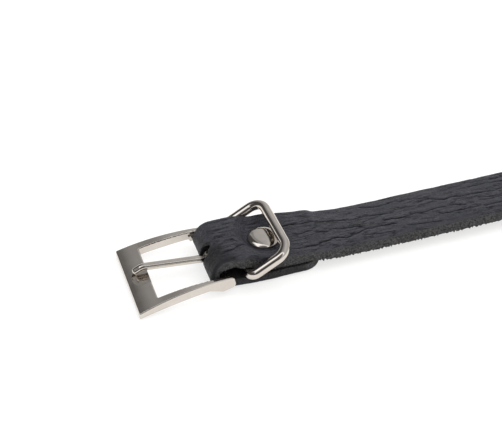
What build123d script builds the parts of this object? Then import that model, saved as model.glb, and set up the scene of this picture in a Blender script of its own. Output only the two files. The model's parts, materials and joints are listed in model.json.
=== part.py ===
from build123d import *
from math import atan, atan2, cos, degrees, radians, sin, sqrt, tan
import os

os.makedirs("parts", exist_ok=True)

# Leather strap with a heel-bar pin buckle, a wire keeper loop and a double-cap rivet.
# It lies along X on the plane Z = 0, with the buckle at -X and the pointed tip at +X.
# The origin is the middle of the overall length, on that plane. Distances "behind the
# heel bar" run from the buckle's heel bar towards the tip.

# Strap
STRAP_WIDTH = 19.0
MAIN_THICKNESS = 4.1
TAIL_THICKNESS = 2.8
FOLD_THICKNESS = 2.8
LAYER_GAP = 0.1
HALF_LENGTH = 114.6
TAIL_LENGTH = 29.6
TAIL_HEIGHT = 0.5  # the rivet's lower cap keeps the tail this far off the table
TAIL_CORNER = 6.3
FOLD_CREST_HEIGHT = 10.2  # the main layer bulges over the eye and the keeper's bar
FOLD_CREST_START = 1.6
FOLD_CREST_END = 6.0
FOLD_FOOT = 12.0
LAYERS_MEET = 10.5
PROFILE_END = 24.0
DROP_START = 26.0
DROP_END = 41.0
UNTWIST_START = 96.0
UNTWIST_END = 116.0
ROLL = 12.3  # sideways lean of the main layer, its near edge up, in degrees
SECTION_STEP = 4.0
POINT_LENGTH = 16.0
POINT_SHOULDER = (0.42, 0.36)  # in point lengths before the tip, and in strap widths
POINT_NOSE = 2.0
HOLE_RADIUS = 1.6
HOLE_SPACING = 15.0
HOLE_COUNT = 5
FIRST_HOLE = 124.0

# Buckle frame, in its own plane: x runs back to the heel bar's axis, which is its origin
HEEL_HEIGHT = 4.7
BUCKLE_PITCH = 12.0
FRONT_REACH = 25.55
FRONT_BAR_WIDTH = 6.29
FRONT_HALF_WIDTH = 13.5
HEEL_HALF_WIDTH = 11.4
WINDOW_HALF_WIDTH = 10.3
RAIL_END = 2.4
ARCH_CREST_X = -16.41
ARCH_CREST_Z = 3.35
ARCH_RADIUS = 65.2
FRONT_THICKNESS = 2.0
RAIL_THICKNESS = 2.92
LUG_START = -5.3  # each rail deepens here into a lug that holds the heel bar
LUG_FULL = -1.6
LUG_BOTTOM = -2.9
LUG_ROUNDS = (1.2, 1.4, 1.2, 2.0)  # end of the top, end of the bottom, full depth, start
HEEL_BAR_RADIUS = 1.1
BOSS_DEPTH = 0.5
BOSS_LENGTH = 6.0
BOSS_END = 1.2
BOSS_HEIGHT = 1.8
NOTCH_LENGTH = 4.8
NOTCH_NEAR = -3.8
NOTCH_FAR = 2.9
NOTCH_DEPTH = 0.7
NOTCH_CORNER = 3.0
FRAME_ROUND = 0.4

# Prong
RUNNING_GAP = 0.08
PRONG_RADIUS = 1.1
PRONG_SKEW = 4.0
PRONG_REACH = 23.4
PRONG_BEND = 20.7
SHANK_HEIGHT_AT_BEND = 5.1
SHANK_HEIGHT_AT_HEEL = 4.2
TIP_HEIGHT = 3.5
BEND_RADIUS = 2.2
NECK_RADIUS = 1.5
EYE_STOP = -120.0  # direction, seen from the heel bar, in which the eye's wire ends
TIP_ROUND = 0.7
SLOT_WIDTH = 3.2
SLOT_BACK = 1.6
EYE_CLEARANCE = 0.3

# Keeper loop
WIRE_RADIUS = 1.5
KEEPER_X = 6.45
KEEPER_Y = -0.2
KEEPER_HEIGHT = 4.88
KEEPER_WIDTH = 22.7
KEEPER_LEG = 12.9
KEEPER_LEAN = 29.0
KEEPER_YAW = 2.2
KEEPER_LOWER_CORNER = 2.2
KEEPER_GAP = 0.1
KEEPER_UPPER_CORNER = 4.0

# Rivet: each end is a domed cap crimped round a disc; a post stands in a tube between them
RIVET_X = 14.3
CAP_RADIUS = 4.5
CAP_FLAT = 2.0
CAP_SHEET = 0.35
CAP_RIM = 0.5
CAP_LIP = 0.2
UPPER_CAP_HEIGHT = 1.6
LOWER_CAP_HEIGHT = 1.2
LIP_RADIUS = 3.6
DISC_RADIUS = 4.0
DISC_THICKNESS = 0.3
CRIMP_GAP = 0.05
TUBE_RADIUS = 1.8
TUBE_BORE = 1.2
POST_RADIUS = 1.15
POST_END_GAP = 0.4
UPPER_DENT = 0.3

# The buckle's foremost edge is the top corner of its pitched front bar.
pitch = radians(BUCKLE_PITCH)
front_top = ARCH_CREST_Z - (FRONT_REACH + ARCH_CREST_X) ** 2 / (2 * ARCH_RADIUS)
front_foot = FRONT_REACH + FRONT_THICKNESS * tan(pitch)  # the front face stands upright
HEEL_X = -HALF_LENGTH + FRONT_REACH * cos(pitch) + front_top * sin(pitch)

tail_top = TAIL_HEIGHT + TAIL_THICKNESS
main_bottom = tail_top + LAYER_GAP
main_top = main_bottom + MAIN_THICKNESS
bar_bore_radius = HEEL_BAR_RADIUS + RUNNING_GAP
fold_radius = bar_bore_radius + FOLD_THICKNESS
eye_radius = bar_bore_radius + PRONG_RADIUS
half_width = STRAP_WIDTH / 2
flat_start = HEEL_X + UNTWIST_END
point_start = HALF_LENGTH - POINT_LENGTH
rivet_x = HEEL_X + RIVET_X
upper_seat = main_top - UPPER_DENT

side = Plane(origin=(HEEL_X, 0, 0), x_dir=(1, 0, 0), z_dir=(0, -1, 0))
heel_axis_point = (HEEL_X, 0, HEEL_HEIGHT)


def smooth_step(value, start, end):
    """0 before start, 1 after end, with a gentle change between them."""
    t = min(max((value - start) / (end - start), 0.0), 1.0)
    return t * t * (3 - 2 * t)


def roll_at(x):
    """Sideways lean of the main layer x mm behind the heel bar, in radians."""
    rise = smooth_step(x, DROP_START, DROP_END)
    fall = smooth_step(x, UNTWIST_START, UNTWIST_END)
    return radians(ROLL) * (rise - fall)


def strap_section(x):
    """The plane of the main layer's cross-section x mm behind the heel bar."""
    roll = roll_at(x)
    lift = main_bottom * (1 - smooth_step(x, DROP_START, DROP_END))
    half_height = half_width * sin(roll) + MAIN_THICKNESS / 2 * cos(roll)
    centre = (HEEL_X + x, 0, lift + half_height)
    return Plane(origin=centre, x_dir=(0, cos(roll), -sin(roll)), z_dir=(1, 0, 0))


section_count = round((UNTWIST_END - PROFILE_END) / SECTION_STEP)
stations = [
    PROFILE_END + (UNTWIST_END - PROFILE_END) * index / section_count
    for index in range(section_count + 1)
]

# The keeper turns about its lower bar, which lies between the strap's two layers.
yaw = radians(KEEPER_YAW)
lean = radians(KEEPER_LEAN)
keeper_bar_point = (HEEL_X + KEEPER_X, KEEPER_Y, KEEPER_HEIGHT)
keeper_bar = Vector(-sin(yaw), cos(yaw), 0)
keeper_leg = Vector(cos(yaw) * cos(lean), sin(yaw) * cos(lean), sin(lean))
keeper_plane = Plane(
    origin=keeper_bar_point, x_dir=keeper_leg, z_dir=keeper_leg.cross(keeper_bar)
)
keeper_bar_plane = Plane(origin=keeper_bar_point, x_dir=(0, 0, 1), z_dir=keeper_bar)

with BuildPart() as strap:
    # Tail, fold and the start of the main layer, as one side profile
    with BuildSketch(side):
        with BuildLine():
            bore_top = (0, HEEL_HEIGHT + bar_bore_radius)
            bore_front = (-bar_bore_radius, HEEL_HEIGHT)
            bore_bottom = (0, HEEL_HEIGHT - bar_bore_radius)
            fold_bottom = (0, HEEL_HEIGHT - fold_radius)
            fold_front = (-fold_radius, HEEL_HEIGHT)
            Polyline((TAIL_LENGTH, TAIL_HEIGHT), (fold_radius, TAIL_HEIGHT), fold_bottom)
            RadiusArc(fold_bottom, fold_front, fold_radius)
            Spline(
                fold_front,
                (FOLD_CREST_START, FOLD_CREST_HEIGHT),
                (FOLD_CREST_END, FOLD_CREST_HEIGHT),
                (FOLD_FOOT, main_top),
                tangents=((0, 1), (1, 0)),
            )
            Polyline(
                (FOLD_FOOT, main_top),
                (PROFILE_END, main_top),
                (PROFILE_END, main_bottom),
                (LAYERS_MEET, main_bottom),
                bore_top,
            )
            ThreePointArc(bore_top, bore_front, bore_bottom)
            Polyline(
                bore_bottom,
                (LAYERS_MEET, tail_top),
                (TAIL_LENGTH, tail_top),
                (TAIL_LENGTH, TAIL_HEIGHT),
            )
        make_face()
    extrude(amount=half_width, both=True)
    # Round corners of the tail
    fillet(strap.edges().filter_by(Axis.Z).group_by(Axis.X)[-1], radius=TAIL_CORNER)
    # The main layer comes down off the tail, leans over, and turns level again
    for station in stations:
        with BuildSketch(strap_section(station)):
            Rectangle(STRAP_WIDTH, MAIN_THICKNESS)
    loft()
    # Level end with its pointed tip
    with BuildSketch(Plane.XY):
        with BuildLine():
            Polyline(
                (point_start, -half_width),
                (flat_start, -half_width),
                (flat_start, half_width),
                (point_start, half_width),
            )
            for hand in (1, -1):
                ThreePointArc(
                    (point_start, hand * half_width),
                    (
                        HALF_LENGTH - POINT_LENGTH * POINT_SHOULDER[0],
                        hand * STRAP_WIDTH * POINT_SHOULDER[1],
                    ),
                    (HALF_LENGTH, hand * POINT_NOSE),
                )
            Line((HALF_LENGTH, POINT_NOSE), (HALF_LENGTH, -POINT_NOSE))
        make_face()
    extrude(amount=MAIN_THICKNESS)
    # Adjustment holes
    with BuildSketch(Plane.XY):
        for index in range(HOLE_COUNT):
            with Locations((HEEL_X + FIRST_HOLE + HOLE_SPACING * index, 0)):
                Circle(HOLE_RADIUS)
    extrude(amount=MAIN_THICKNESS, mode=Mode.SUBTRACT)
    # Slot for the prong's swing, and the pocket round its eye
    with BuildSketch(side):
        with Locations((SLOT_BACK, HEEL_HEIGHT)):
            Rectangle(STRAP_WIDTH, STRAP_WIDTH, align=(Align.MAX, Align.CENTER))
        with Locations((0, HEEL_HEIGHT)):
            Circle(eye_radius + PRONG_RADIUS + EYE_CLEARANCE)
    extrude(amount=SLOT_WIDTH / 2, both=True, mode=Mode.SUBTRACT)
    # Round pocket for the keeper's lower bar
    with BuildSketch(keeper_bar_plane):
        Circle(WIRE_RADIUS + KEEPER_GAP)
    extrude(amount=STRAP_WIDTH, both=True, mode=Mode.SUBTRACT)
    # Rivet hole, and the dents pressed by its two caps
    with BuildSketch(Plane.XY):
        with Locations((rivet_x, 0)):
            Circle(TUBE_RADIUS + RUNNING_GAP)
    extrude(amount=main_top, mode=Mode.SUBTRACT)
    with BuildSketch(Plane.XY.offset(upper_seat)):
        with Locations((rivet_x, 0)):
            Circle(CAP_RADIUS + RUNNING_GAP)
    extrude(amount=MAIN_THICKNESS, mode=Mode.SUBTRACT)
    with BuildSketch(Plane.XY.offset(LOWER_CAP_HEIGHT)):
        with Locations((rivet_x, 0)):
            Circle(CAP_RADIUS + RUNNING_GAP)
    extrude(amount=-MAIN_THICKNESS, mode=Mode.SUBTRACT)

# Buckle planes: seen from above, and from the near side
buckle_x = Vector(cos(pitch), 0, sin(pitch))
buckle_z = Vector(-sin(pitch), 0, cos(pitch))
buckle_plane = Plane(origin=heel_axis_point, x_dir=buckle_x, z_dir=buckle_z)
buckle_side = Plane(origin=heel_axis_point, x_dir=buckle_x, z_dir=(0, -1, 0))


def crest(x):
    """Height of the buckle's arched top at x, in the buckle's own plane."""
    return ARCH_CREST_Z - (x - ARCH_CREST_X) ** 2 / (2 * ARCH_RADIUS)


arch_middle = (RAIL_END - FRONT_REACH) / 2
underside_middle = (LUG_START - FRONT_REACH) / 2
lug_corners = (
    (RAIL_END, crest(RAIL_END)),
    (RAIL_END, LUG_BOTTOM),
    (LUG_FULL, LUG_BOTTOM),
    (LUG_START, crest(LUG_START) - RAIL_THICKNESS),
)
notch_inner_x = FRONT_BAR_WIDTH - FRONT_REACH
bar_slope = (crest(notch_inner_x) - crest(-FRONT_REACH)) / FRONT_BAR_WIDTH
notch_middle = (NOTCH_FAR + NOTCH_NEAR) / 2
notch_width = NOTCH_FAR - NOTCH_NEAR
notch_plane = Plane(
    origin=buckle_plane.from_local_coords((notch_inner_x, 0, crest(notch_inner_x) - NOTCH_DEPTH)),
    x_dir=buckle_x + buckle_z * bar_slope,
    z_dir=buckle_z - buckle_x * bar_slope,
)

with BuildPart() as buckle_frame:
    # Tapered outline and window
    with BuildSketch(buckle_plane.offset(-FRONT_HALF_WIDTH)):
        with BuildLine():
            Polyline(
                (-front_foot, -FRONT_HALF_WIDTH),
                (RAIL_END, -HEEL_HALF_WIDTH),
                (RAIL_END, HEEL_HALF_WIDTH),
                (-front_foot, FRONT_HALF_WIDTH),
                close=True,
            )
        make_face()
        with Locations((notch_inner_x, 0)):
            Rectangle(
                FRONT_REACH,
                2 * WINDOW_HALF_WIDTH,
                align=(Align.MIN, Align.CENTER),
                mode=Mode.SUBTRACT,
            )
    extrude(amount=2 * FRONT_HALF_WIDTH)
    # Arched from front to heel, and deeper round the heel bar
    with BuildSketch(buckle_side) as profile:
        with BuildLine():
            top = ThreePointArc(
                (-FRONT_REACH, crest(-FRONT_REACH)),
                (arch_middle, crest(arch_middle)),
                (RAIL_END, crest(RAIL_END)),
            )
            bottom = ThreePointArc(
                (-front_foot, crest(-FRONT_REACH) - FRONT_THICKNESS),
                (underside_middle, crest(underside_middle) - RAIL_THICKNESS),
                lug_corners[3],
            )
            Line(top @ 0, bottom @ 0)
            Polyline(bottom @ 1, lug_corners[2], lug_corners[1], lug_corners[0])
        make_face()
        for corner, radius in zip(lug_corners, LUG_ROUNDS):
            fillet(profile.vertices().sort_by_distance(corner)[0], radius=radius)
    extrude(amount=FRONT_REACH, both=True, mode=Mode.INTERSECT)
    fillet(buckle_frame.edges(), radius=FRAME_ROUND)
    # Saddle notch for the prong's tip
    with BuildSketch(notch_plane):
        with Locations((0, notch_middle)):
            RectangleRounded(2 * NOTCH_LENGTH, notch_width, NOTCH_CORNER)
    extrude(amount=MAIN_THICKNESS, mode=Mode.SUBTRACT)
    # Heel bar, cast in one with the rails, and the bosses at its two ends
    with BuildSketch(buckle_side):
        Circle(HEEL_BAR_RADIUS)
    extrude(amount=WINDOW_HALF_WIDTH, both=True)
    with BuildSketch(buckle_side):
        with Locations((BOSS_END, 0)):
            Rectangle(BOSS_LENGTH, BOSS_HEIGHT, align=(Align.MAX, Align.CENTER))
    extrude(amount=WINDOW_HALF_WIDTH, both=True)
    with BuildSketch(buckle_side):
        Rectangle(STRAP_WIDTH, STRAP_WIDTH)
        Circle(HEEL_BAR_RADIUS, mode=Mode.SUBTRACT)
    extrude(amount=WINDOW_HALF_WIDTH - BOSS_DEPTH, both=True, mode=Mode.SUBTRACT)

# Prong: shank line, neck bend and eye in one plane, skewed to the notch's far side
skew = radians(PRONG_SKEW)
prong_side = Plane(
    origin=heel_axis_point,
    x_dir=(cos(skew), -sin(skew), 0),
    z_dir=(-sin(skew), -cos(skew), 0),
)
shank_slope = (SHANK_HEIGHT_AT_BEND - SHANK_HEIGHT_AT_HEEL) / PRONG_BEND
shank_angle = atan(shank_slope)
centre_rise = SHANK_HEIGHT_AT_HEEL - HEEL_HEIGHT + NECK_RADIUS / cos(shank_angle)
centre_distance = eye_radius + NECK_RADIUS
spread = (1 + shank_slope**2) * (centre_distance**2 - centre_rise**2)
neck_x = (centre_rise * shank_slope - sqrt((centre_rise * shank_slope) ** 2 + spread)) / (
    1 + shank_slope**2
)
neck_z = centre_rise - neck_x * shank_slope
neck_start = (
    neck_x - NECK_RADIUS * sin(shank_angle),
    neck_z - NECK_RADIUS * cos(shank_angle),
)
meet_angle = degrees(atan2(neck_z, neck_x))

with BuildPart() as prong:
    with BuildLine(prong_side) as wire:
        FilletPolyline(
            (-PRONG_REACH, TIP_HEIGHT - HEEL_HEIGHT),
            (-PRONG_BEND, SHANK_HEIGHT_AT_BEND - HEEL_HEIGHT),
            neck_start,
            radius=BEND_RADIUS,
        )
        CenterArc(
            (neck_x, neck_z),
            NECK_RADIUS,
            -90 - degrees(shank_angle),
            meet_angle - 90 + degrees(shank_angle),
        )
        CenterArc((0, 0), eye_radius, meet_angle, EYE_STOP - meet_angle)
    with BuildSketch(wire.line ^ 0):
        Circle(PRONG_RADIUS)
    sweep()
    fillet(prong.faces().filter_by(GeomType.PLANE).edges(), radius=TIP_ROUND)

with BuildPart() as keeper_loop:
    with BuildLine(keeper_plane) as wire:
        FilletPolyline(
            (0, -KEEPER_WIDTH / 2),
            (KEEPER_LEG, -KEEPER_WIDTH / 2),
            (KEEPER_LEG, KEEPER_WIDTH / 2),
            (0, KEEPER_WIDTH / 2),
            radius=[
                KEEPER_LOWER_CORNER,
                KEEPER_UPPER_CORNER,
                KEEPER_UPPER_CORNER,
                KEEPER_LOWER_CORNER,
            ],
            close=True,
        )
    with BuildSketch(wire.line ^ 0):
        Circle(WIRE_RADIUS)
    sweep()


def dome(cap_height, hand):
    """Half section of a crimped cap that bulges up (hand 1) or down (hand -1)."""
    inner_radius = DISC_RADIUS + CRIMP_GAP
    inner_height = cap_height - CAP_SHEET
    Line((0, hand * cap_height), (CAP_FLAT, hand * cap_height))
    TangentArc((CAP_FLAT, hand * cap_height), (CAP_RADIUS, hand * CAP_RIM), tangent=(1, 0))
    Polyline(
        (CAP_RADIUS, hand * CAP_RIM),
        (CAP_RADIUS, 0),
        (LIP_RADIUS, 0),
        (LIP_RADIUS, hand * CAP_LIP),
        (inner_radius, hand * CAP_LIP),
        (inner_radius, hand * CAP_RIM),
    )
    TangentArc((CAP_FLAT, hand * inner_height), (inner_radius, hand * CAP_RIM), tangent=(1, 0))
    Polyline((CAP_FLAT, hand * inner_height), (0, hand * inner_height), (0, hand * cap_height))


rivet_axis = Axis((rivet_x, 0, 0), (0, 0, 1))
upper_plane = Plane(origin=(rivet_x, 0, upper_seat), x_dir=(1, 0, 0), z_dir=(0, -1, 0))
lower_plane = Plane(origin=(rivet_x, 0, LOWER_CAP_HEIGHT), x_dir=(1, 0, 0), z_dir=(0, -1, 0))
grip = upper_seat - LOWER_CAP_HEIGHT
disc_top = CAP_LIP + DISC_THICKNESS

with BuildPart() as rivet_upper_cap:
    with BuildSketch(upper_plane):
        with BuildLine():
            dome(UPPER_CAP_HEIGHT, 1)
        make_face()
    revolve(axis=rivet_axis)

with BuildPart() as rivet_lower_cap:
    with BuildSketch(lower_plane):
        with BuildLine():
            dome(LOWER_CAP_HEIGHT, -1)
        make_face()
    revolve(axis=rivet_axis)

with BuildPart() as rivet_socket:
    with BuildSketch(upper_plane):
        with BuildLine():
            Polyline(
                (0, disc_top),
                (DISC_RADIUS, disc_top),
                (DISC_RADIUS, CAP_LIP),
                (TUBE_RADIUS, CAP_LIP),
                (TUBE_RADIUS, -grip),
                (TUBE_BORE, -grip),
                (TUBE_BORE, CAP_LIP),
                (0, CAP_LIP),
                close=True,
            )
        make_face()
    revolve(axis=rivet_axis)

with BuildPart() as rivet_post:
    with BuildSketch(lower_plane):
        with BuildLine():
            Polyline(
                (0, -disc_top),
                (DISC_RADIUS, -disc_top),
                (DISC_RADIUS, -CAP_LIP),
                (POST_RADIUS, -CAP_LIP),
                (POST_RADIUS, grip - POST_END_GAP),
                (0, grip - POST_END_GAP),
                close=True,
            )
        make_face()
    revolve(axis=rivet_axis)

pieces = {
    "strap": strap,
    "buckle_frame": buckle_frame,
    "prong": prong,
    "keeper_loop": keeper_loop,
    "rivet_upper_cap": rivet_upper_cap,
    "rivet_socket": rivet_socket,
    "rivet_post": rivet_post,
    "rivet_lower_cap": rivet_lower_cap,
}
for name, piece in pieces.items():
    piece.part.label = name
    export_step(piece.part, f"parts/{name}.step")
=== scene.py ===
import json
from math import cos, pi, radians, sin, sqrt

import bmesh
import bpy
import numpy as np
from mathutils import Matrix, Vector


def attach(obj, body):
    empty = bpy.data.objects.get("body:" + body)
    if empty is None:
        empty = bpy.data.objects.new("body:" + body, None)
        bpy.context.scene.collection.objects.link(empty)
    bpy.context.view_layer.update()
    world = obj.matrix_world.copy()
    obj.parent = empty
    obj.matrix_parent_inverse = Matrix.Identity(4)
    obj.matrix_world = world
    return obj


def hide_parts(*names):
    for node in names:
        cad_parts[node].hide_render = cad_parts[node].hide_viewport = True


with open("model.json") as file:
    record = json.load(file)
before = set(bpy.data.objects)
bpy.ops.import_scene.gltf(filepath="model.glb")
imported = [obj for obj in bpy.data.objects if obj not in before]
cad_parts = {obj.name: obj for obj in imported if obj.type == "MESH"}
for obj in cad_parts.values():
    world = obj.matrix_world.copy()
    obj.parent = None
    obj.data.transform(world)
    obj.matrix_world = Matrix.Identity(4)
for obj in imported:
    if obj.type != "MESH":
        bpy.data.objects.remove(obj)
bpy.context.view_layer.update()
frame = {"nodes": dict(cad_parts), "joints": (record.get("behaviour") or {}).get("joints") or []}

MM = 0.001
joints = {joint["name"]: joint for joint in frame["joints"]}
HEEL = Vector(joints["buckle_swing"]["pos_m"])


# ---------------------------------------------------------------- helpers
def noise(x, y, seed):
    """Smooth gradient noise, roughly -1 to 1."""
    angles = np.random.default_rng(seed).uniform(0, 2 * pi, (256, 256))
    xi, yi = np.floor(x).astype(int), np.floor(y).astype(int)
    xf, yf = x - xi, y - yi

    def corner(i, j):
        a = angles[(xi + i) % 256, (yi + j) % 256]
        return np.cos(a) * (xf - i) + np.sin(a) * (yf - j)

    u = xf ** 3 * (xf * (6 * xf - 15) + 10)
    w = yf ** 3 * (yf * (6 * yf - 15) + 10)
    low = corner(0, 0) * (1 - u) + corner(1, 0) * u
    high = corner(0, 1) * (1 - u) + corner(1, 1) * u
    return 1.5 * (low * (1 - w) + high * w)


def step(value, start, end):
    """0 up to start, 1 from end on, and smooth between."""
    t = np.clip((value - start) / (end - start), 0, 1)
    return t * t * (3 - 2 * t)


def smooth_rows(rows, count):
    """A smooth curve through the given rows, count points to each stretch."""
    rows = np.array(rows, float)
    padded = np.vstack([2 * rows[0] - rows[1], rows, 2 * rows[-1] - rows[-2]])
    out = []
    for i in range(len(rows) - 1):
        p0, p1, p2, p3 = padded[i:i + 4]
        for t in np.linspace(0, 1, count, endpoint=False):
            out.append(0.5 * (
                2 * p1 + (p2 - p0) * t + (2 * p0 - 5 * p1 + 4 * p2 - p3) * t ** 2
                + (3 * p1 - p0 - 3 * p2 + p3) * t ** 3
            ))
    out.append(rows[-1])
    return np.array(out)


# ---------------------------------------------------------------- leather
# Lengths here are millimetres, from the point below the heel bar. s runs along the strap:
# from the tail's end, round the heel bar, and on to the tip. On the main layer s is the
# distance behind the heel bar. v runs across, from -9.5 on the near side to 9.5.
HALF = 9.5
THICKNESS = 4.0
HALF_LENGTH = 114.6
TIP = HALF_LENGTH - HEEL.x / MM
TIP_LENGTH = 16
AXIS_Z = 4.7
EDGE_ROUND = 0.8
TAIL_LENGTH = 29.6
TAIL_TOP = 3.3
TAIL_CORNER = 6.3
RIVET_S = 14.3
RIVET_HOLE = 1.88
DENT_RADIUS = 4.7
DENT_Z = 7.17
LOWER_DENT_Z = 1.22
# The strap round the heel bar from the side, as x, z pairs of the grain side, the flesh
# side, the flesh side at the near edge and the flesh side over the prong's eye
GRAIN, FLESH, NEAR_FLESH, EYE_FLESH = 0, 2, 4, 6
PATH = [
    (TAIL_LENGTH, 0.5, TAIL_LENGTH, TAIL_TOP, TAIL_LENGTH, TAIL_TOP, TAIL_LENGTH, TAIL_TOP),
    (20.0, 0.5, 20.0, 3.3, 20.0, 3.3, 20.0, 3.3),
    (12.0, 0.5, 12.0, 3.3, 12.0, 3.3, 12.0, 3.3),
    (8.0, 0.5, 8.0, 3.3, 8.0, 3.3, 8.0, 3.3),
    (6.0, 0.5, 6.0, 3.28, 6.0, 3.28, 6.0, 3.28),
    (4.0, 0.5, 4.0, 3.4, 4.0, 3.4, 4.0, 3.2),
    (2.0, 0.55, 2.0, 3.46, 2.0, 3.46, 2.6, 1.9),
    (0.0, 0.72, 0.0, 3.5, 0.0, 3.5, 0.0, 1.2),
    (-1.6, 1.1, -0.5, 3.6, -0.5, 3.6, -1.4, 1.5),
    (-2.95, 2.05, -0.85, 3.85, -0.85, 3.85, -2.6, 2.3),
    (-3.75, 3.3, -1.1, 4.25, -1.1, 4.25, -3.4, 3.4),
    (-3.98, 4.7, -1.2, 4.7, -1.2, 4.7, -3.6, 4.7),
    (-3.75, 6.1, -1.15, 5.05, -1.4, 5.3, -3.4, 6.0),
    (-3.15, 7.5, -1.02, 5.35, -1.5, 6.0, -2.85, 7.1),
    (-2.2, 8.75, -0.75, 5.65, -1.2, 6.7, -2.05, 7.8),
    (-1.1, 9.6, -0.35, 5.85, -0.6, 7.1, -1.1, 8.25),
    (0.4, 10.15, 0.4, 5.85, 0.4, 7.3, 0.4, 8.4),
    (2.0, 10.25, 2.0, 5.45, 2.0, 7.65, 2.0, 7.9),
    (3.0, 10.25, 3.0, 5.2, 3.0, 7.7, 3.0, 7.0),
    (4.4, 10.25, 4.4, 4.87, 4.4, 7.0, 4.4, 5.0),
    (6.0, 10.25, 6.0, 4.5, 6.0, 6.2, 6.0, 4.5),
    (8.0, 10.25, 8.0, 4.0, 8.0, 5.2, 8.0, 4.0),
    (10.5, 10.25, 10.5, 3.5, 10.5, 4.2, 10.5, 3.5),
    (12.5, 10.25, 12.5, 3.4, 12.5, 3.8, 12.5, 3.4),
    (15.0, 10.25, 15.0, 3.4, 15.0, 3.6, 15.0, 3.4),
    (28.0, 10.25, 28.0, 3.4, 28.0, 3.4, 28.0, 3.4),
]
path = smooth_rows(PATH, 16)
run = np.concatenate([[0], np.cumsum(np.hypot(*np.diff(path[:, :2], axis=0).T))])
path_s = run - np.interp(0.0, path[len(path) // 2:, 0], run[len(path) // 2:])
TAIL_END = path_s[0]
# The grain side's height as it dips to the rivet: s, then z
BOWL = smooth_rows([
    (-9, 10.25), (4.2, 10.25), (5.4, 10.12), (6.4, 9.7), (7.4, 8.95), (8.4, 8.1),
    (9.4, 7.45), (10.4, 7.22), (12, DENT_Z), (RIVET_S, DENT_Z),
], 8)
# What the run behind the rivet adds to that height: s, then mm
RUN_HEIGHT = smooth_rows([
    (RIVET_S, 0.0), (20, 0.0), (24, -0.1), (29, -0.5), (34, -1.05), (40, -1.4), (48, -1.5),
    (60, -1.35), (96, -1.3), (106, -2.3), (116, -3.25), (124, -3.35), (206, -3.35),
], 8)
# How far the far side is turned down: s, then degrees
ROLL = smooth_rows([
    (-9, 0.0), (-6, 2.5), (-2, 6.0), (2, 6.6), (10, 6.2), (22, 6.0), (28, 7.4), (34, 9.4),
    (41, 11.0), (52, 11.5), (64, 11.3), (96, 11.2), (106, 5.5), (116, 0.0), (206, 0.0),
], 8)
# The pointed end: share of its length, then half width
TIP_SHAPE = smooth_rows([
    (0, HALF), (0.15, 9.3), (0.35, 8.5), (0.58, 6.85), (0.8, 4.7), (0.92, 3.1), (1.0, 2.0),
], 8).T


def path_at(s, side):
    """The x and z of one side of the folded strap."""
    return np.interp(s, path_s, path[:, side]), np.interp(s, path_s, path[:, side + 1])


def roll_at(s):
    return np.radians(np.interp(s, ROLL[:, 0], ROLL[:, 1], left=0.0))


def grain_base(s, v):
    """Points on the grain side, before creases."""
    x, z = path_at(s, GRAIN)
    over = s > 0
    reach = RIVET_S - np.sqrt(np.clip(RIVET_S - s, 0, None) ** 2 + (0.68 * v) ** 2)
    bowl = np.interp(reach, BOWL[:, 0], BOWL[:, 1])
    fade = 1 - step(s, RIVET_S, 27)
    bowl = np.where(s > RIVET_S, DENT_Z + (bowl - DENT_Z) * fade, bowl)
    bowl = bowl + np.interp(s, RUN_HEIGHT[:, 0], RUN_HEIGHT[:, 1], left=0.0)
    x, z = np.where(over, s, x), np.where(over, np.where(s < 2, z, bowl), z)
    roll = roll_at(s)
    crown = 0.28 * (1 - (v / HALF) ** 2) * step(s, -9, -2)
    far_lift = 0.12 + (0.55 + 0.25 * step(s, 25, 29)) * (1 - step(s, 30.0, 32.6))
    z = z + crown + far_lift * step(v, 0.5, 9.0) * step(s, -7, -1)
    pressed = 1 - step(np.hypot(s - RIVET_S, v), DENT_RADIUS, 6.6)
    z = z - v * np.sin(roll) * (1 - pressed)
    z = z + (DENT_Z - z) * pressed
    z = z - 0.3 * (1 - step(s, -22, -14)) * step(-v, 2, 9)
    low_pressed = (1 - step(np.hypot(x - RIVET_S, v), DENT_RADIUS, 5.6)) * (s < -15)
    z = z + (LOWER_DENT_Z - z) * low_pressed
    return np.stack([x, v * np.cos(roll), z], -1)


def flesh_base(s, v):
    """Points on the flesh side, kept clear of the prong's eye, the keeper and the tail."""
    near = 1 - step(v, -9.0, -3.5)
    eye = 1 - step(np.abs(v), 1.75, 2.5)
    (x, z), (near_x, near_z), (eye_x, eye_z) = (
        path_at(s, side) for side in (FLESH, NEAR_FLESH, EYE_FLESH)
    )
    x = x * (1 - near) + near_x * near
    z = z * (1 - near) + near_z * near
    x = x * (1 - eye) + eye_x * eye
    z = z * (1 - eye) + eye_z * eye
    over_keeper = 6.55 - 0.42 * (s - 6.45 + 0.038 * (v + 0.2)) ** 2
    z = np.where((s > 3.4) & (s < 9.5), np.maximum(z, over_keeper), z)
    roll = roll_at(s)
    clamped = np.stack([x, v * np.cos(roll), z], -1)
    top = grain_base(s, v)
    thick = THICKNESS + 0.05 - 0.04 * v
    flat_end = step(s, 100, 116)
    thick = thick * (1 - flat_end) + THICKNESS * flat_end
    free = top - np.stack([0 * s, np.sin(roll) * thick, np.cos(roll) * thick], -1)
    free[..., 2] = np.maximum(free[..., 2], 0.02)
    share = step(s, 25.5, 31)[..., None]
    found = clamped * (1 - share) + free * share
    on_tail = (s > RIVET_S) * (1 - step(s, TAIL_LENGTH, TAIL_LENGTH + 2))
    found[..., 2] = np.maximum(found[..., 2], (TAIL_TOP + 0.06) * on_tail)
    return found


def half_width(s):
    """The strap's half width, with the tail's round corners and the pointed tip."""
    turned = np.clip(1 - (s - TAIL_END) / TAIL_CORNER, 0, 1)
    clip = TAIL_CORNER * (1 - np.sqrt(1 - turned ** 2))
    t = np.clip((s - (TIP - TIP_LENGTH)) / TIP_LENGTH, 0, 1)
    point = np.interp(t, *TIP_SHAPE)
    return np.where(s > TIP - TIP_LENGTH, point, HALF - clip)


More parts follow.
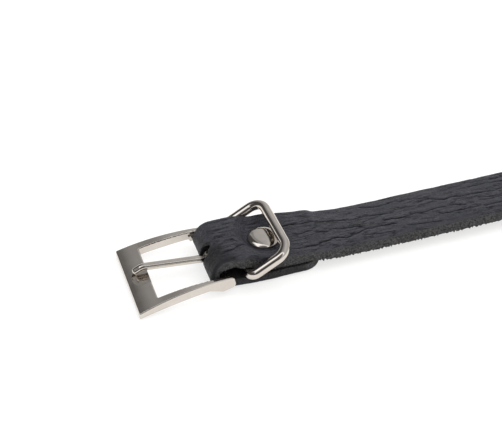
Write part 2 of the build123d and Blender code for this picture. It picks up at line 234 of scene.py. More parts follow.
# Directions in degrees seen from the heel bar: 180 is straight ahead, 90 straight up
direction = np.degrees(np.arctan2(path[:, 1] - AXIS_Z, path[:, 0]))
front = (path[:, 1] > AXIS_Z) & (path_s < 1.9)
tail_x, tail_s = path[:len(path) // 3, 0], path_s[:len(path) // 3]
SLOT_START = np.interp(-3.0, -tail_x, tail_s)
SLOT_ROUND = 1.6
SLIT_HALF = 0.05
SLIT_END = 2.2
# Holes as s of the centre and radius: the rivet's two, then the five for adjustment
HOLES = [(RIVET_S, RIVET_HOLE), (np.interp(-RIVET_S, -tail_x, tail_s), RIVET_HOLE)]
HOLES += [(124 + 15 * i, 1.6) for i in range(5)]
# The slot's mouth: a direction, then the v of its near and far edges
MOUTH = smooth_rows([
    (102, 0.0, 0.1), (107, -0.8, 0.8), (111, -1.15, 1.1), (116, -1.4, 1.25), (123, -1.7, 1.45),
    (131, -2.5, 1.6), (138, -2.7, 1.6), (150, -2.45, 1.6), (168, -2.0, 1.6), (180, -1.7, 1.6),
], 6)[::-1]
mouth_s = np.interp(-MOUTH[:, 0], -direction[front], path_s[front])


def slot_half(s):
    """Half the slot's width at s: its round lower end, the mouth, and a shut slit above."""
    before = np.clip((SLOT_START + SLOT_ROUND - s) / SLOT_ROUND, 0, 1)
    open_end = np.sqrt(np.clip(1 - before ** 2, 0, 1))
    wide = np.interp(s, mouth_s, (MOUTH[:, 2] - MOUTH[:, 1]) / 2)
    slit = SLIT_HALF * (1 - step(s, 1.0, SLIT_END))
    wide = np.minimum(wide * open_end, np.where(s > mouth_s[-1], slit, HALF))
    return np.where((s > SLOT_START) & (s < SLIT_END), wide, 0.0)


def opening(s):
    """Half the width of the slot or hole at s, or 0."""
    found = slot_half(s)
    for centre, radius in HOLES:
        found = np.maximum(found, np.sqrt(np.clip(radius ** 2 - (s - centre) ** 2, 0, None)))
    return np.where(found < 1e-3, 0.0, found)


def slot_centre(s):
    """The v of the slot's middle at s, or 0 away from the slot."""
    middle = np.interp(s, mouth_s, (MOUTH[:, 2] + MOUTH[:, 1]) / 2)
    return middle * step(s, mouth_s[0] - 4, mouth_s[0]) * (1 - step(s, 1.5, 4.5))


# Creases pressed across the grain: depth, then s and v along each, in mm on the strap
LISTED_END = 79.0
CREASE_REACH = 2.5
CUT_WIDTH, HOLLOW_WIDTH = 0.18, 0.5
PUFF_PLACE, PUFF_WIDTH = 0.95, 0.6
CREASES = """
0.30  45.7 7.2  47.4 6.6  49.2 5.65  50.3 5.5  51.6 5.25  53.9 5.5  56.6 5.9;
0.26  57.0 5.5  58.2 4.9  60.3 5.4;
0.14  41.6 7.5  43.2 7.2  45.7 7.3;
0.40  18.0 3.0  21.0 3.15  23.2 3.3  26.3 3.0  28.2 3.0  29.7 3.4  31.3 3.07  32.9 2.84
    34.2 2.5  35.3 2.28  36.8 2.36  38.4 1.97;
0.40  37.6 2.1  40.0 1.7  41.0 1.23  42.6 1.3  44.2 1.7  46.3 1.44  47.9 1.05  49.7 1.05
    51.0 0.52  52.9 0.39  54.7 0.44;
0.24  56.0 1.7  57.6 1.7  58.6 1.7  59.3 1.05  60.2 1.2  61.5 1.0;
0.22  60.2 2.5  62.3 2.36  63.9 2.76  65.2 3.0  66.5 3.0  67.6 2.6;
0.42  67.0 2.9  68.2 2.1  69.2 1.57  70.5 1.05  72.3 1.44  74.4 1.18  76.0 0.65  79.0 0.9
    82.5 0.2;
0.24  58.6 5.65  60.3 5.4  62.7 4.73  64.7 3.94  66.5 4.2  67.3 4.5;
0.24  27.0 -0.4  27.6 -0.14  28.9 0.0  30.0 0.26  30.8 0.65;
0.40  22.4 -1.0  23.2 -1.2  24.5 -1.6  26.05 -1.3  27.6 -0.93  28.9 -1.2;
0.42  28.9 -1.5  29.5 -1.9  31.05 -2.24  32.4 -2.64  33.9 -2.4;
0.26  31.4 -1.1  32.1 -1.06  33.7 -1.24;
0.38  33.6 -1.9  34.5 -1.77  35.8 -1.77  36.8 -2.4  38.4 -2.4  40.0 -2.6  41.8 -2.56  42.4 -3.43
    43.2 -3.95;
0.20  21.0 -2.3  22.4 -2.1  23.2 -2.24  24.0 -2.8  25.8 -2.5  26.8 -2.2;
0.38  38.0 -5.3  38.4 -5.66  40.0 -6.3  41.6 -5.66  43.2 -5.0  44.7 -4.9  45.5 -5.2  47.6 -4.87
    49.2 -5.27  51.0 -5.3  53.0 -5.6;
0.20  41.8 -2.6  42.6 -2.24  43.7 -1.45  45.3 -0.93  46.8 -0.4  48.9 -0.14  50.8 0.5;
0.38  28.2 -6.85  29.7 -7.1  31.6 -6.7  32.6 -6.2  34.5 -6.27  35.8 -6.6  36.8 -7.0  38.2 -6.85
    39.2 -6.4;
0.46  18.0 -7.5  20.0 -7.77  21.6 -8.03  23.4 -8.16  25.3 -7.8  26.8 -8.0  28.2 -7.77  29.2 -7.0;
0.30  41.0 -7.5  42.9 -7.77  44.7 -8.08  46.3 -8.56  47.4 -8.95;
0.38  49.4 -2.4  50.8 -2.64  52.6 -2.98  54.2 -3.43  55.8 -3.3  57.6 -3.03  60.0 -2.7
    61.0 -3.03  62.8 -3.08  64.6 -2.8  66.0 -2.5  67.6 -2.64  69.4 -2.8;
0.38  70.6 -2.9  71.5 -2.9  72.8 -3.3  74.2 -3.95  75.8 -4.1;
0.26  60.6 -3.2  61.3 -3.8  62.05 -4.35  63.1 -4.6;
0.18  63.9 -4.1  65.5 -4.2  67.0 -4.6;
0.26  52.6 -8.2  53.4 -8.3  54.7 -8.74  55.5 -8.56;
0.34  54.8 -7.5  56.0 -7.9  57.6 -8.16  59.95 -8.56  62.3 -8.7  63.9 -9.0  65.5 -9.1;
0.40  65.4 -5.0  66.0 -5.27  66.8 -5.9  67.8 -5.98  69.2 -6.2  70.2 -5.9  71.8 -6.06  73.2 -6.2
    75.4 -6.0  78.0 -6.3;
0.20  69.6 -7.0  70.2 -7.24  71.0 -7.5  72.4 -7.7;
0.18  70.4 -2.7  71.0 -2.4  72.8 -1.06  73.4 -0.4  74.7 -0.35  77.0 -0.8;
0.16  72.0 5.6  73.0 5.9  75.2 6.7  77.1 6.2  77.8 7.0  79.4 6.7;
0.20  -0.8 1.0  0.8 1.0  2.4 0.64  3.4 0.2  4.6 0.24  5.8 0.5  6.8 0.7;
0.20  2.0 -0.4  2.8 -0.6  4.0 -0.8  5.0 -1.6  5.8 -2.3  6.6 -2.6;
0.26  0.0 -6.6  0.6 -6.4  1.8 -5.9  3.0 -5.8  4.0 -5.3  5.0 -4.8  6.0 -4.4  7.2 -3.6  8.4 -2.8;
0.12  4.0 -4.1  4.6 -4.2  6.4 -4.0  8.0 -3.0;
0.14  -1.0 8.0  1.8 7.6  3.0 7.8  5.6 7.9  7.2 8.2  8.8 8.6;
0.12  10.6 -8.0  11.2 -7.6  12.6 -6.2
"""


def hidden_creases():
    """Random creases of the same kind on the stretches beyond the listed ones."""
    rng = np.random.default_rng(31)
    found = []
    for low, high in ((TAIL_END + 1, -16.0), (LISTED_END, TIP - 3)):
        for row in np.arange(-8.4, 8.5, 2.1):
            s = low - rng.uniform(0, 6)
            while s < high - 3:
                end = min(s + rng.uniform(8, 26), high)
                start = max(s, low)
                if end - start > 4:
                    along = np.arange(start, end, 1.4)
                    drift = np.cumsum(rng.normal(0, 0.28, len(along)))
                    across = row + rng.uniform(-0.7, 0.7) + drift - drift.mean()
                    found.append((rng.uniform(0.10, 0.26), along, across))
                s = end + rng.uniform(-2, 3)
    return found


def crease_height(s, v):
    """Height of the grain above its base, in mm."""
    lines = [np.array(row.split(), float) for row in CREASES.split(";")]
    lines = [(row[0], row[1::2], row[2::2]) for row in lines] + hidden_creases()
    warp_v = v + 0.16 * noise(s / 1.3, v / 1.3, 5)
    warp_s = s + 0.2 * noise(s / 1.1, v / 1.1, 6)
    height = np.zeros_like(s)
    for depth, along, across in lines:
        near = np.where(
            (s > along[0] - CREASE_REACH) & (s < along[-1] + CREASE_REACH)
            & (v > across.min() - CREASE_REACH) & (v < across.max() + CREASE_REACH)
        )[0]
        ps, pv = warp_s[near], warp_v[near]
        best, place = np.full(len(near), 9.0), np.zeros(len(near))
        length = 0.0
        for i in range(len(along) - 1):
            ds, dv = along[i + 1] - along[i], across[i + 1] - across[i]
            size = sqrt(ds * ds + dv * dv)
            t = np.clip(((ps - along[i]) * ds + (pv - across[i]) * dv) / size ** 2, 0, 1)
            gap = np.hypot(ps - along[i] - t * ds, pv - across[i] - t * dv)
            closer = gap < best
            best[closer], place[closer] = gap[closer], (length + t * size)[closer]
            length += size
        taper = step(place, -0.4, 1.1) * (1 - step(place, length - 1.1, length + 0.4))
        taper = taper * (0.8 + 0.25 * noise(ps / 2.2, pv / 9.0, 7))
        cut = np.exp(-(best / CUT_WIDTH) ** 2) + 0.26 * np.exp(-(best / HOLLOW_WIDTH) ** 2)
        puff = 0.30 * np.exp(-((best - PUFF_PLACE) / PUFF_WIDTH) ** 2)
        height[near] += depth * taper * (puff - cut)
    ridge = np.abs(noise(s / 2.6, v / 0.85, 11))
    height -= 0.07 * np.exp(-(ridge / 0.13) ** 2) * step(noise(s / 7, v / 3, 12), -0.1, 0.4)
    height += 0.07 * noise(s / 5.5, v / 1.5, 13) + 0.02 * noise(s / 0.9, v / 0.6, 14)
    return np.clip(height, -0.55, 0.4)


def stations():
    """Values of s for the mesh's rows."""
    fine, coarse = 0.28, 0.42
    rows = np.concatenate([
        np.arange(TAIL_END, -13, 0.5), np.arange(-13, 80, fine), np.arange(80, TIP, coarse), [TIP],
    ])
    for centre, radius in HOLES:
        rows = rows[np.abs(rows - centre) > radius + 0.05]
        rows = np.concatenate([rows, centre - radius * np.cos(np.linspace(0, pi, 25))])
    blunt = SLOT_START + SLOT_ROUND - SLOT_ROUND * np.cos(np.linspace(0, pi / 2, 10))
    rows = rows[(rows < SLOT_START - 0.03) | (rows > SLOT_START + SLOT_ROUND + 0.03)]
    rows = np.sort(np.concatenate([rows, blunt]))
    return rows[np.concatenate([[True], np.diff(rows) > 1e-4])]


# The mesh carries two values for the material. "side" is 0 on the grain, ROUND_MARK where
# it rounds over the edge, 1 on the cut edge and 2 on the flesh side. "height" is the
# creases' height in mm, which the material paints as shade in the creases and highlight on
# their ridges. It is lowered on the fold's near lobe, and on the flesh side and cut edge
# under the fold, to paint shade there.
ROUND_MARK, FLESH_MARK = 0.2, 2.0
SHADED = -0.6
FREE_FROM = 28


def build_leather():
    """The strap as one closed mesh: two sheets, and walls along the outline and openings."""
    rows = stations()
    fine = 56
    across = np.concatenate([
        np.linspace(0, 1, fine, endpoint=False) * (1 - EDGE_ROUND / HALF),
        1 - EDGE_ROUND / HALF * (1 - np.sin(np.linspace(0, pi / 2, 7))),
    ])
    columns = len(across)
    s = np.repeat(rows[:, None], columns, 1)
    gap, middle = opening(rows), slot_centre(rows)
    wander = 0.10 * noise(rows / 6.0, rows * 0 + 0.5, 21)
    width = half_width(rows)
    tail_spread = 0.35 * (1 - step(rows, -22, -12))
    near_half = width + wander + tail_spread
    near_v = -near_half[:, None] * across - (gap - middle)[:, None] * (1 - across)
    far_v = (width - wander)[:, None] * across + (gap + middle)[:, None] * (1 - across)
    points, marks, heights = [], [], []

    def grain_points(v):
        flat_s, flat_v = s.ravel(), v.ravel()
        base = grain_base(flat_s, flat_v)
        ahead = grain_base(flat_s + 0.05, flat_v) - grain_base(flat_s - 0.05, flat_v)
        sideways = grain_base(flat_s, flat_v + 0.05) - grain_base(flat_s, flat_v - 0.05)
        normal = np.cross(ahead, sideways)
        normal /= np.linalg.norm(normal, axis=1)[:, None]
        normal[:, 2] = np.where(flat_s > 3, np.abs(normal[:, 2]), normal[:, 2])
        from_edge = ((1 - across[None, :]) * np.abs(width)[:, None]).ravel()
        inside = np.clip(EDGE_ROUND - from_edge, 0, EDGE_ROUND)
        drop = EDGE_ROUND - np.sqrt(np.clip(EDGE_ROUND ** 2 - inside ** 2, 0, None))
        height = crease_height(flat_s, flat_v)
        height = height * step(np.hypot(flat_s - RIVET_S, flat_v), DENT_RADIUS, 6.2)
        mark = ROUND_MARK * step(drop, 0.2, 0.8)
        # Painted shade: the height is lowered on the fold's near lobe, so the grain there is painted
        # darker
        painted_lobe_shade = 0.19 * (1 - step(flat_s, -1, 7)) * (1 - step(flat_v, -4, 2))
        return base + normal * (height - drop)[:, None], mark, height - painted_lobe_shade

    def flesh_points(v):
        flat_s, flat_v = s.ravel(), v.ravel()
        base = flesh_base(flat_s, flat_v)
        rag = step(np.abs(flat_v) / np.repeat(width, columns), 0.93, 1.0)
        tuft = noise(flat_s / 0.5, flat_v / 0.8, 41) + 0.8 * noise(flat_s / 0.31, flat_v / 0.5, 43)
        base[:, 1] += np.sign(flat_v) * rag * 0.2 * tuft
        base[:, 2] -= rag * 0.42 * np.clip(tuft + 0.2, -0.3, 1) * (flat_s > FREE_FROM)
        base[:, 2] += 0.05 * noise(flat_s / 0.7, flat_v / 0.7, 42)
        base[:, 2] = np.where(flat_s > FREE_FROM, np.maximum(base[:, 2], 0.0), base[:, 2])
        # Painted shade on the flesh side under the fold
        shade = SHADED * (1 - step(flat_s, 22, FREE_FROM))
        return base, np.full(len(flat_s), FLESH_MARK), shade

    total = 0
    index = {}
    for name, v in (("near", near_v), ("far", far_v)):
        for sheet, (co, mark, height) in (("grain", grain_points(v)), ("flesh", flesh_points(v))):
            index[name, sheet] = np.arange(total, total + s.size).reshape(s.shape)
            points.append(co)
            marks.append(mark)
            heights.append(height)
            total += s.size
    shut = gap == 0
    for sheet in ("grain", "flesh"):
        index["far", sheet][shut, 0] = index["near", sheet][shut, 0]
    faces = []

    def quads(grid, flip):
        a, b, c, d = grid[:-1, :-1], grid[1:, :-1], grid[1:, 1:], grid[:-1, 1:]
        faces.append(np.stack([a, d, c, b] if flip else [a, b, c, d], -1).reshape(-1, 4))

    quads(index["near", "grain"], True)
    quads(index["far", "grain"], False)
    quads(index["near", "flesh"], False)
    quads(index["far", "flesh"], True)

    def outline(sheet):
        """The loop round the whole sheet."""
        near, far = index["near", sheet], index["far", sheet]
        return np.concatenate([
            near[:, -1], near[-1, -2::-1], far[-1, 1:], far[-2::-1, -1],
            far[0, -2::-1], near[0, 1:-1],
        ])

    def rim(sheet, first, last):
        """The loop round one opening, from row first to row last."""
        near, far = index["near", sheet], index["far", sheet]
        return np.concatenate([near[first:last + 1, 0], far[last - 1:first:-1, 0]])

    def wall(top_loop, low_loop, levels, fuzz, bulge):
        """The cut leather between a grain loop and a flesh loop."""
        nonlocal total
        stack = np.vstack(points)
        top, low = stack[top_loop], stack[low_loop]
        along = np.roll(top, -1, 0) - np.roll(top, 1, 0)
        along = along + np.roll(low, -1, 0) - np.roll(low, 1, 0)
        down = low - top
        outward = np.cross(along, down)
        outward /= np.linalg.norm(outward, axis=1)[:, None] + 1e-9
        walked = np.concatenate([[0], np.cumsum(np.linalg.norm(np.diff(top, axis=0), axis=1))])
        rings = [top_loop]
        for level in range(1, levels):
            f = level / levels
            swell = bulge * sin(pi * f)
            rough = fuzz * (0.35 + f) * (
                noise(walked / 0.5, walked * 0 + 9 * f, 51)
                + 0.6 * noise(walked / 0.33, walked * 0 + 14 * f, 52)
            )
            co = top + down * f + outward * (swell + rough)[:, None]
            points.append(co)
            mark = ROUND_MARK + (1 - ROUND_MARK) * step(f, 0.08, 0.42)
            marks.append(np.full(len(co), mark))
            # Painted shade on the lower cut edge under the fold
            heights.append(SHADED * (1 - step(co[:, 2], 3.2, 4.2)) * (1 - step(co[:, 0], 20, 26)))
            rings.append(np.arange(total, total + len(co)))
            total += len(co)
        rings.append(low_loop)
        for upper, lower in zip(rings[:-1], rings[1:]):
            faces.append(np.stack([upper, np.roll(upper, -1), np.roll(lower, -1), lower], -1))

    wall(outline("grain"), outline("flesh"), 11, 0.17, 0.16)
    open_rows = np.where(gap > 0)[0]
    for group in np.split(open_rows, np.where(np.diff(open_rows) > 1)[0] + 1):
        first, last = group[0] - 1, group[-1] + 1
        wall(rim("grain", first, last), rim("flesh", first, last), 6, 0.03, 0.0)

    co = np.vstack(points)
    used, packed = np.unique(np.concatenate([f.ravel() for f in faces]), return_inverse=True)
    mesh = bpy.data.meshes.new("leather_strap")
    placed = co[used] * MM + [HEEL.x, 0, 0]
    mesh.from_pydata(placed.tolist(), [], packed.reshape(-1, 4).tolist())
    for key, values in (("side", marks), ("height", heights)):
        attribute = mesh.attributes.new(key, "FLOAT", "POINT")
        attribute.data.foreach_set("value", np.concatenate(values)[used].astype(np.float32))
    work = bmesh.new()
    work.from_mesh(mesh)
    bmesh.ops.remove_doubles(work, verts=work.verts, dist=2e-6)
    bmesh.ops.recalc_face_normals(work, faces=work.faces)
    loose = [e for e in work.edges if len(e.link_faces) != 2]
    print("leather", len(work.verts), "vertices,", len(loose), "open edges")
    work.to_mesh(mesh)
    work.free()
    mesh.shade_smooth()
    leather = bpy.data.objects.new("leather_strap", mesh)
    bpy.context.scene.collection.objects.link(leather)
    return leather


leather = build_leather()
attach(leather, "strap")
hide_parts("strap")


# ---------------------------------------------------------------- rivet cap
# Millimetres. The crown is slightly domed, the shoulder an arc, and the rim turned in.
CAP_SEAT = 7.2
CAP_HEIGHT = 1.6
CAP_INSIDE = 1.25
CAP_RADIUS = 4.5
CAP_RIM = 0.5
CROWN_RADIUS = 2.0
CROWN_DROP = 0.03
CAP_ARC = radians(47.5)
CAP_TURNS = 128


def build_cap():
    """The rivet's upper cap, turned from its half section (radius and height in mm)."""
    crown = [
        (r, CAP_HEIGHT - CROWN_DROP * (r / CROWN_RADIUS) ** 2)
        for r in np.linspace(0, CROWN_RADIUS, 9)[1:]
    ]
    start = CAP_HEIGHT - CROWN_DROP
    reach = (CAP_RADIUS - CROWN_RADIUS) / sin(CAP_ARC)
    fall = (start - CAP_RIM) / (1 - cos(CAP_ARC))
    shoulder = [
        (CROWN_RADIUS + reach * sin(a), start - fall * (1 - cos(a)))
        for a in np.linspace(0, CAP_ARC, 14)[1:]
    ]
    rim = [
        (CAP_RADIUS, 0.42), (CAP_RADIUS, 0.08), (4.44, 0.0), (3.6, 0.0), (3.6, 0.2),
        (4.05, 0.2), (4.05, CAP_RIM),
    ]
    inside = [(3.4, 0.95), (2.6, 1.18), (1.4, CAP_INSIDE)]
    section = crown + shoulder + rim + inside
    work = bmesh.new()
    centre = Vector((HEEL.x + RIVET_S * MM, 0, CAP_SEAT * MM))
    rings = []
    for r, z in section:
        ring = []
        for turn in range(CAP_TURNS):
            a = 2 * pi * turn / CAP_TURNS
            ring.append(work.verts.new(centre + Vector((r * cos(a), r * sin(a), z)) * MM))
        rings.append(ring)
    for low, high in zip(rings[:-1], rings[1:]):
        for i in range(CAP_TURNS):
            j = (i + 1) % CAP_TURNS
            work.faces.new((low[i], low[j], high[j], high[i]))
    for ring, z in ((rings[0], CAP_HEIGHT), (rings[-1], CAP_INSIDE)):
        tip = work.verts.new(centre + Vector((0, 0, z * MM)))
        for i in range(CAP_TURNS):
            work.faces.new((ring[i], ring[(i + 1) % CAP_TURNS], tip))
    bmesh.ops.recalc_face_normals(work, faces=work.faces)
    mesh = bpy.data.meshes.new("rivet_cap")
    work.to_mesh(mesh)
    work.free()
    mesh.shade_smooth()
    cap = bpy.data.objects.new("rivet_cap", mesh)
    bpy.context.scene.collection.objects.link(cap)
    return cap


cap = build_cap()
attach(cap, "strap")
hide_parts("rivet_upper_cap")


# ---------------------------------------------------------------- materials
class Nodes:
    """A small helper to lay out a node tree."""

    def __init__(self, owner):
        owner.use_nodes = True
        self.tree = owner.node_tree
        self.tree.nodes.clear()

    def add(self, kind, inputs=(), **settings):
        node = self.tree.nodes.new(kind)
        for key, value in settings.items():
            setattr(node, key, value)
        for key, value in dict(inputs).items():
            self.put(node, key, value)
        return node

    def put(self, node, key, value):
        if isinstance(value, bpy.types.NodeSocket):
            self.tree.links.new(value, node.inputs[key])
        else:
            node.inputs[key].default_value = value

    def math(self, operation, *values, clamp=False):
        inputs = dict(enumerate(values))
        node = self.add("ShaderNodeMath", inputs, operation=operation, use_clamp=clamp)
        return node.outputs[0]

    def remap(self, value, low, high, out_low=0.0, out_high=1.0):
        node = self.add(
            "ShaderNodeMapRange",
            {0: value, 1: low, 2: high, 3: out_low, 4: out_high},
            interpolation_type="SMOOTHSTEP",
        )
        return node.outputs[0]

    def noise(self, scale, detail, rough, vector):
        node = self.add("ShaderNodeTexNoise", {
            "Scale": scale, "Detail": detail, "Roughness": rough, "Vector": vector,
        })
        return node.outputs["Fac"]

    def mix(self, share, a, b):
        """Two colours mixed; on the node, inputs 6 and 7 are its colours."""
        return self.add("ShaderNodeMix", {0: share, 6: a, 7: b}, data_type="RGBA").outputs[2]

    def mix_values(self, share, a, b):
        """Two numbers mixed; on the node, inputs 2 and 3 are its numbers."""
        return self.add("ShaderNodeMix", {0: share, 2: a, 3: b}, data_type="FLOAT").outputs[0]

    def bump(self, height, distance, below=None):
        node = self.add("ShaderNodeBump", {"Height": height, "Strength": 1.0, "Distance": distance})
        if below is not None:
            self.put(node, "Normal", below)
        return node.outputs[0]

    def finish_surface(self, **inputs):
        named = {key.replace("_", " "): value for key, value in inputs.items()}
        shader = self.add("ShaderNodeBsdfPrincipled", named)
        self.add("ShaderNodeOutputMaterial", {"Surface": shader.outputs[0]})


# Linear colours, each pair from dark to light
GRAIN_COLOURS = (0.0345, 0.0345, 0.0435, 1), (0.0485, 0.0485, 0.0590, 1)
EDGE_COLOURS = (0.012, 0.012, 0.0125, 1), (0.092, 0.089, 0.088, 1)
SUEDE_COLOURS = (0.026, 0.024, 0.021, 1), (0.052, 0.047, 0.040, 1)
PORE_COLOURS = (0.015, 0.015, 0.018, 1), (0.078, 0.077, 0.086, 1)
# Painted highlight for the creases' ridges, and painted shade for the wrinkles and creases
RIDGE_HIGHLIGHT_COLOUR = (0.070, 0.070, 0.081, 1)
WRINKLE_SHADE_COLOUR = (0.010, 0.010, 0.012, 1)
CREASE_SHADE_COLOUR = (0.008, 0.008, 0.010, 1)
# Painted shade colours for the cut edge and flesh side under the fold
SHADED_EDGE = (0.014, 0.014, 0.015, 1)
SHADED_SUEDE = (0.010, 0.010, 0.011, 1)
NICKEL_COLOURS = (0.615, 0.565, 0.51, 1), (0.675, 0.63, 0.58, 1)
# Painted shade over the prong's eye, in the fold
EYE_SHADE_COLOUR = (0.06, 0.055, 0.05, 1)


def leather_material():
    material = bpy.data.materials.new("black_leather")
    n = Nodes(material)
    place = n.add("ShaderNodeTexCoord").outputs["Object"]
    side = n.add("ShaderNodeAttribute", attribute_name="side").outputs["Fac"]
    height = n.add("ShaderNodeAttribute", attribute_name="height").outputs["Fac"]
    ragged = n.math("MULTIPLY_ADD", n.noise(2200, 4, 0.6, place), 0.9, -0.45)
    cut = n.remap(n.math("ADD", side, ragged), 0.35, 0.75)
    flesh = n.remap(side, 1.3, 1.9)
    blotch = n.noise(160, 4, 0.6, place)
    pore = n.noise(1900, 4, 0.7, place)
    fibre = n.noise(1900, 5, 0.78, place)

    # Grain: blotches, painted highlight on the creases' ridges, light and dark pores, and painted shade
    # in the fine wrinkles and the creases
    grain = n.mix(n.remap(blotch, 0.3, 0.7), *GRAIN_COLOURS)
    # Painted highlight: the creases' raised ridges are made lighter
    grain = n.mix(n.remap(height, 0.02, 0.16, 0.0, 0.35), grain, RIDGE_HIGHLIGHT_COLOUR)
    grain = n.mix(n.remap(pore, 0.52, 0.68, 0.0, 0.55), grain, PORE_COLOURS[1])
    grain = n.mix(n.remap(pore, 0.34, 0.46, 0.5, 0.0), grain, PORE_COLOURS[0])
    stretched = n.add("ShaderNodeMapping", {"Vector": place, "Scale": (0.13, 1.0, 1.0)}).outputs[0]
    lines = n.math("ABSOLUTE", n.math("SUBTRACT", n.noise(900, 4, 0.62, stretched), 0.5))
    wrinkle = n.math("MULTIPLY", n.remap(lines, 0.035, 0.0), n.remap(blotch, 0.42, 0.6, 0.15, 1.0))
    # Painted shade in the fine wrinkles' furrows
    grain = n.mix(n.math("MULTIPLY", wrinkle, 0.55), grain, WRINKLE_SHADE_COLOUR)
    # Painted shade in the creases' valleys
    grain = n.mix(n.remap(height, -0.24, -0.02, 0.85, 0.0), grain, CREASE_SHADE_COLOUR)

    # Cut edge and flesh side, with painted shade under the fold
    edge = n.mix(n.remap(fibre, 0.36, 0.62), *EDGE_COLOURS)
    edge = n.mix(n.remap(height, -0.5, 0.0, 0.7, 0.0), edge, SHADED_EDGE)
    suede = n.mix(n.remap(fibre, 0.32, 0.66), *SUEDE_COLOURS)
    suede = n.mix(n.remap(height, -0.5, 0.0, 0.8, 0.0), suede, SHADED_SUEDE)
    color = n.mix(flesh, n.mix(cut, grain, edge), suede)

    rough = n.remap(pore, 0.3, 0.7, 0.44, 0.60)
    rough = n.math("ADD", rough, n.math("MULTIPLY", cut, 0.34), clamp=True)
    cells = n.add("ShaderNodeTexVoronoi", {"Scale": 1500.0, "Vector": place}, feature="SMOOTH_F1")
    pebble = n.math("MULTIPLY_ADD", cells.outputs["Distance"], 0.6, pore)
    uncut = n.math("SUBTRACT", 1.0, cut)
    furrow = n.math("MULTIPLY", n.math("MULTIPLY", wrinkle, uncut), -1.6)
    pebble = n.math("ADD", n.math("MULTIPLY", pebble, uncut), furrow)
    normal = n.bump(pebble, 0.00018)
    normal = n.bump(n.math("MULTIPLY", fibre, cut), 0.00030, normal)
    n.finish_surface(Base_Color=color, Roughness=rough, Normal=normal, Specular_IOR_Level=0.26)
    return material


SATIN_ROUGHNESS = 0.18
SHADE_FADE = 1.2 * MM


def nickel_material(name, rough, satin_from=None, shaded_from=None):
    """Bright nickel. Faces that look along satin_from are brushed; past the given x the colour is
    darkened, painted shade where the leather folds over the prong's eye.
    """
    material = bpy.data.materials.new(name)
    n = Nodes(material)
    where = n.add("ShaderNodeTexCoord")
    place = where.outputs["Object"]
    haze = n.noise(240, 4, 0.6, place)
    finish = n.remap(haze, 0.3, 0.7, rough * 0.8, rough * 1.35)
    color = n.mix(n.remap(haze, 0.3, 0.75), *NICKEL_COLOURS)
    if satin_from is not None:
        facing = n.add(
            "ShaderNodeVectorMath", {0: where.outputs["Normal"], 1: satin_from}, operation="DOT_PRODUCT",
        )
        top = n.remap(facing.outputs["Value"], 0.86, 0.94)
        satin = n.remap(haze, 0.3, 0.7, SATIN_ROUGHNESS * 0.94, SATIN_ROUGHNESS * 1.08)
        finish = n.mix_values(top, finish, satin)
    if shaded_from is not None:
        # Painted shade: the prong is darkened past the given x, where the leather folds over its eye
        along = n.add("ShaderNodeSeparateXYZ", {0: place}).outputs[0]
        eye_shade = n.remap(along, shaded_from - SHADE_FADE, shaded_from, 0.0, 0.85)
        color = n.mix(eye_shade, color, EYE_SHADE_COLOUR)
    n.finish_surface(Base_Color=color, Metallic=1.0, Roughness=finish)
    return material


leather.data.materials.append(leather_material())
PITCH = radians(12.0)
finishes = {
    "buckle_frame": nickel_material("nickel_buckle", 0.10, satin_from=(-sin(PITCH), 0, cos(PITCH))),
    "prong": nickel_material("nickel_prong", 0.12, shaded_from=HEEL.x - 3.6 * MM),
    "keeper_loop": nickel_material("nickel_wire", 0.09),
    "rivet": nickel_material("nickel_rivet", 0.11),
}
cap.data.materials.append(finishes["rivet"])
for name, node in frame["nodes"].items():
    node.data.materials.clear()
    if name == "strap":
        node.data.materials.append(leather.data.materials[0])
        continue
    node.data.materials.append(finishes.get(name, finishes["rivet"]))


# ---------------------------------------------------------------- floor, light and camera
FLOOR_SIZE = 6
FLOOR_GAP = 0.2 * MM
FLOOR_GLOW = 0.68


def floor_material():
    """A pale table that glows a little, so that shadows on it stay faint."""
    material = bpy.data.materials.new("light_table")
    n = Nodes(material)
    place = n.add("ShaderNodeTexCoord").outputs["Object"]
    tone = n.mix(n.noise(30, 3, 0.5, place), (0.36, 0.36, 0.36, 1), (0.38, 0.38, 0.38, 1))
    n.finish_surface(
        Base_Color=tone, Roughness=0.9,
        Emission_Color=(1.0, 0.995, 0.985, 1), Emission_Strength=FLOOR_GLOW,
    )
    return material


bpy.ops.mesh.primitive_plane_add(size=FLOOR_SIZE, location=(0, 0, -FLOOR_GAP))
floor = bpy.context.object
floor.name = "floor"
floor.data.materials.append(floor_material())


# Brightness of the studio by direction x: start and end of a step, and its two levels
BANDS = [
    (-0.34, -0.23, 0.08, 0.43), (-0.22, -0.16, 0.0, -0.14), (-0.12, 0.06, 0.0, 0.22),
    (0.12, 0.35, 0.0, 0.14), (0.5, 0.75, 0.0, -0.08),
]
# Where the studio is dark, as round a photographer
DARK_PATCH = (-0.233, -0.712, 0.662)


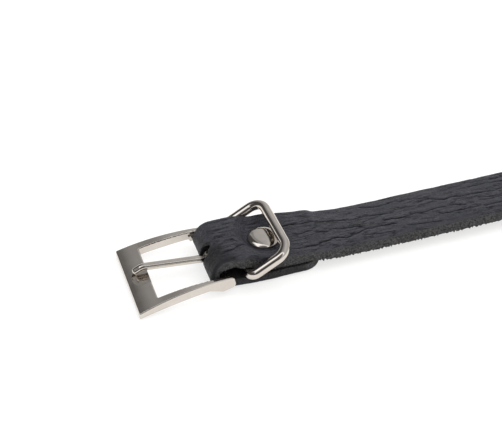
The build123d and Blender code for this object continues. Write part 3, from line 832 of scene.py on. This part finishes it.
def make_world():
    """A studio for reflections, and a smooth level of its own for the diffuse light."""
    world = bpy.data.worlds.new("studio")
    bpy.context.scene.world = world
    n = Nodes(world)
    ray = n.add("ShaderNodeTexCoord").outputs["Generated"]
    x, y, z = n.add("ShaderNodeSeparateXYZ", {0: ray}).outputs
    bands = 0.0
    for start, end, low, high in BANDS:
        bands = n.math("ADD", n.remap(x, start, end, low, high), bands)

    # A softbox overhead on the left, and a bright horizon to the front and far left
    across = n.math("ADD", y, n.math("MULTIPLY", x, 0.9))
    softbox = n.math("MULTIPLY", n.remap(across, -0.22, -0.32), n.remap(z, 0.45, 0.62, 0.0, 1.5))
    softbox = n.math("MULTIPLY", softbox, n.remap(x, -0.75, -0.60))
    low_down = n.remap(z, 0.20, 0.08)
    ahead = n.math("MULTIPLY", low_down, n.remap(y, 0.2, 0.6, 1.0, 0.55))
    horizon = n.math("MAXIMUM", ahead, n.math("MULTIPLY", low_down, n.remap(x, -0.55, -0.7)))
    facing = n.add("ShaderNodeVectorMath", {0: ray, 1: DARK_PATCH}, operation="DOT_PRODUCT")
    patch = n.remap(facing.outputs["Value"], 0.87, 0.93, 1.0, 0.12)
    seen = n.math("MAXIMUM", n.math("MAXIMUM", bands, horizon), softbox)
    seen = n.math("MULTIPLY", seen, patch)

    slant = n.math("ADD", n.math("MULTIPLY", x, 0.6), n.math("MULTIPLY", y, 0.6))
    fill = n.remap(slant, -0.5, 0.5, 0.80, 1.42)
    diffuse = n.add("ShaderNodeLightPath").outputs["Is Diffuse Ray"]
    level = n.mix_values(diffuse, seen, fill)
    tint = n.mix(n.remap(z, 0.0, 0.6), (1.0, 0.985, 0.96, 1), (0.98, 0.985, 1.0, 1))
    shade = n.add("ShaderNodeBackground", {0: tint, 1: level}).outputs[0]
    n.add("ShaderNodeOutputWorld", {0: shade})


make_world()
bpy.context.scene.view_settings.view_transform = "Standard"


LAMP_SIZE = 0.70
LAMP_PLACE = Vector((HEEL.x + 0.30, -0.12, 0.80))
LAMP_POWER = 2.2


def make_lamp():
    """One large soft lamp overhead that does not show in the nickel."""
    data = bpy.data.lights.new("overhead", "AREA")
    data.size = LAMP_SIZE
    data.energy = LAMP_POWER
    lamp = bpy.data.objects.new("overhead", data)
    bpy.context.scene.collection.objects.link(lamp)
    lamp.visible_glossy = False
    lamp.location = LAMP_PLACE
    lamp.rotation_mode = "QUATERNION"
    lamp.rotation_quaternion = (HEEL - LAMP_PLACE).to_track_quat("-Z", "Y")


make_lamp()

CAMERA_TARGET = Vector((HEEL.x + 10.68 * MM, 0, 17.0 * MM))
CAMERA_AZIMUTH = radians(-18.11)
CAMERA_ELEVATION = radians(41.46)
CAMERA_DISTANCE = 407.24 * MM
CAMERA_LENS = 105.35


def make_camera():
    data = bpy.data.cameras.new("camera")
    data.sensor_width = 36.0
    data.lens = CAMERA_LENS
    data.clip_start, data.clip_end = 0.01, 20.0
    camera = bpy.data.objects.new("camera", data)
    bpy.context.scene.collection.objects.link(camera)
    back = Vector((
        sin(CAMERA_AZIMUTH) * cos(CAMERA_ELEVATION),
        -cos(CAMERA_AZIMUTH) * cos(CAMERA_ELEVATION),
        sin(CAMERA_ELEVATION),
    ))
    camera.location = CAMERA_TARGET + back * CAMERA_DISTANCE
    camera.rotation_mode = "QUATERNION"
    camera.rotation_quaternion = (-back).to_track_quat("-Z", "Y")
    bpy.context.scene.camera = camera


make_camera()
